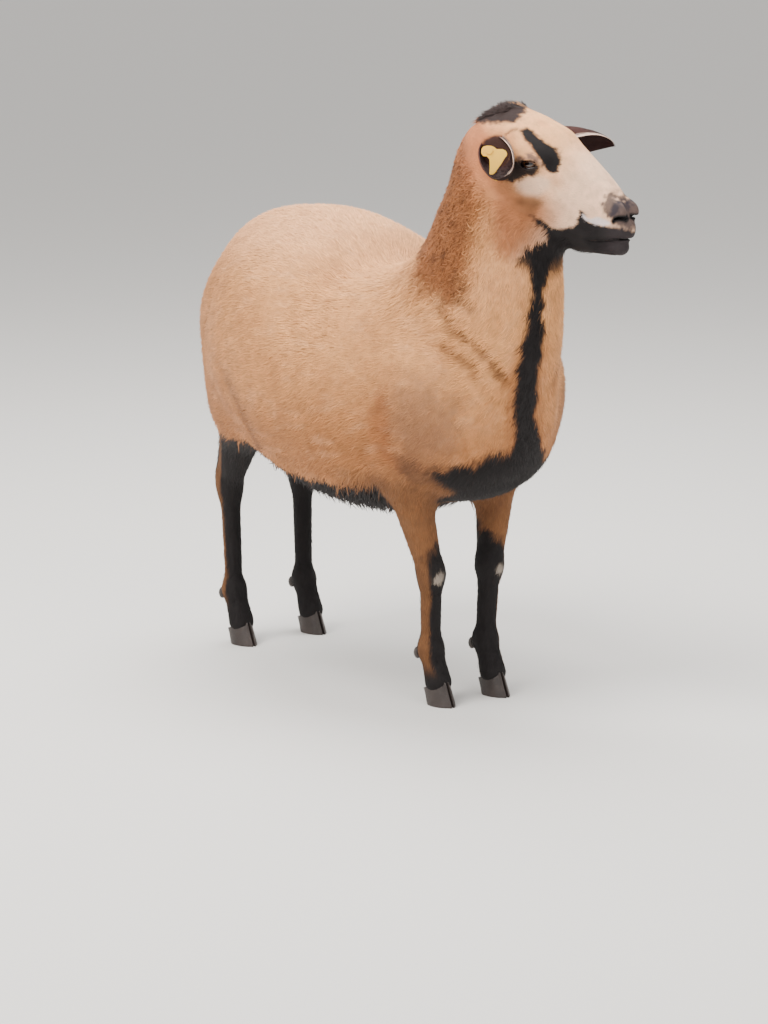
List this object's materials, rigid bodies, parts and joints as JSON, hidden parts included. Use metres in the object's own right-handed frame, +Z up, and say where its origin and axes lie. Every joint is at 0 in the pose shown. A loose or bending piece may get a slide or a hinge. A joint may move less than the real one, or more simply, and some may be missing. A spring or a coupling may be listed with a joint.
{
  "type": "sheep figure",
  "caption": "Life-size standing hornless hair sheep ewe with raised turned head, an ear tag, cloven hooves and a hanging tail, as a still museum model.",
  "frame": {"origin": "under the middle of the whole model's box, on the floor", "axes": "+X along the body towards the head's end, +Y to the animal's left, +Z up"},
  "size_m": [0.8052, 0.4064, 0.8064],
  "materials": {
    "coat": "short fawn hair",
    "black_coat": "short black hair",
    "horn": "dull hoof horn",
    "eye": "wet and glossy",
    "tag": "satin"
  },
  "bodies": {
    "root": {"claw_fore_left_inner": "horn", "claw_fore_left_outer": "horn", "claw_fore_right_inner": "horn", "claw_fore_right_outer": "horn", "claw_hind_left_inner": "horn", "claw_hind_left_outer": "horn", "claw_hind_right_inner": "horn", "claw_hind_right_outer": "horn", "dewclaw_fore_left_inner": "horn", "dewclaw_fore_left_outer": "horn", "dewclaw_fore_right_inner": "horn", "dewclaw_fore_right_outer": "horn", "dewclaw_hind_left_inner": "horn", "dewclaw_hind_left_outer": "horn", "dewclaw_hind_right_inner": "horn", "dewclaw_hind_right_outer": "horn", "ear_left": "coat", "ear_right": "coat", "eye_left": "eye", "eye_right": "eye", "head": "coat", "lower_leg_fore_left": "black_coat", "lower_leg_fore_right": "black_coat", "lower_leg_hind_left": "black_coat", "lower_leg_hind_right": "black_coat", "neck": "coat", "tag_button": "tag", "tag_plate": "tag", "tail": "coat", "torso": "coat", "upper_leg_fore_left": "black_coat", "upper_leg_fore_right": "black_coat", "upper_leg_hind_left": "black_coat", "upper_leg_hind_right": "black_coat"}
  },
  "joints": []
}
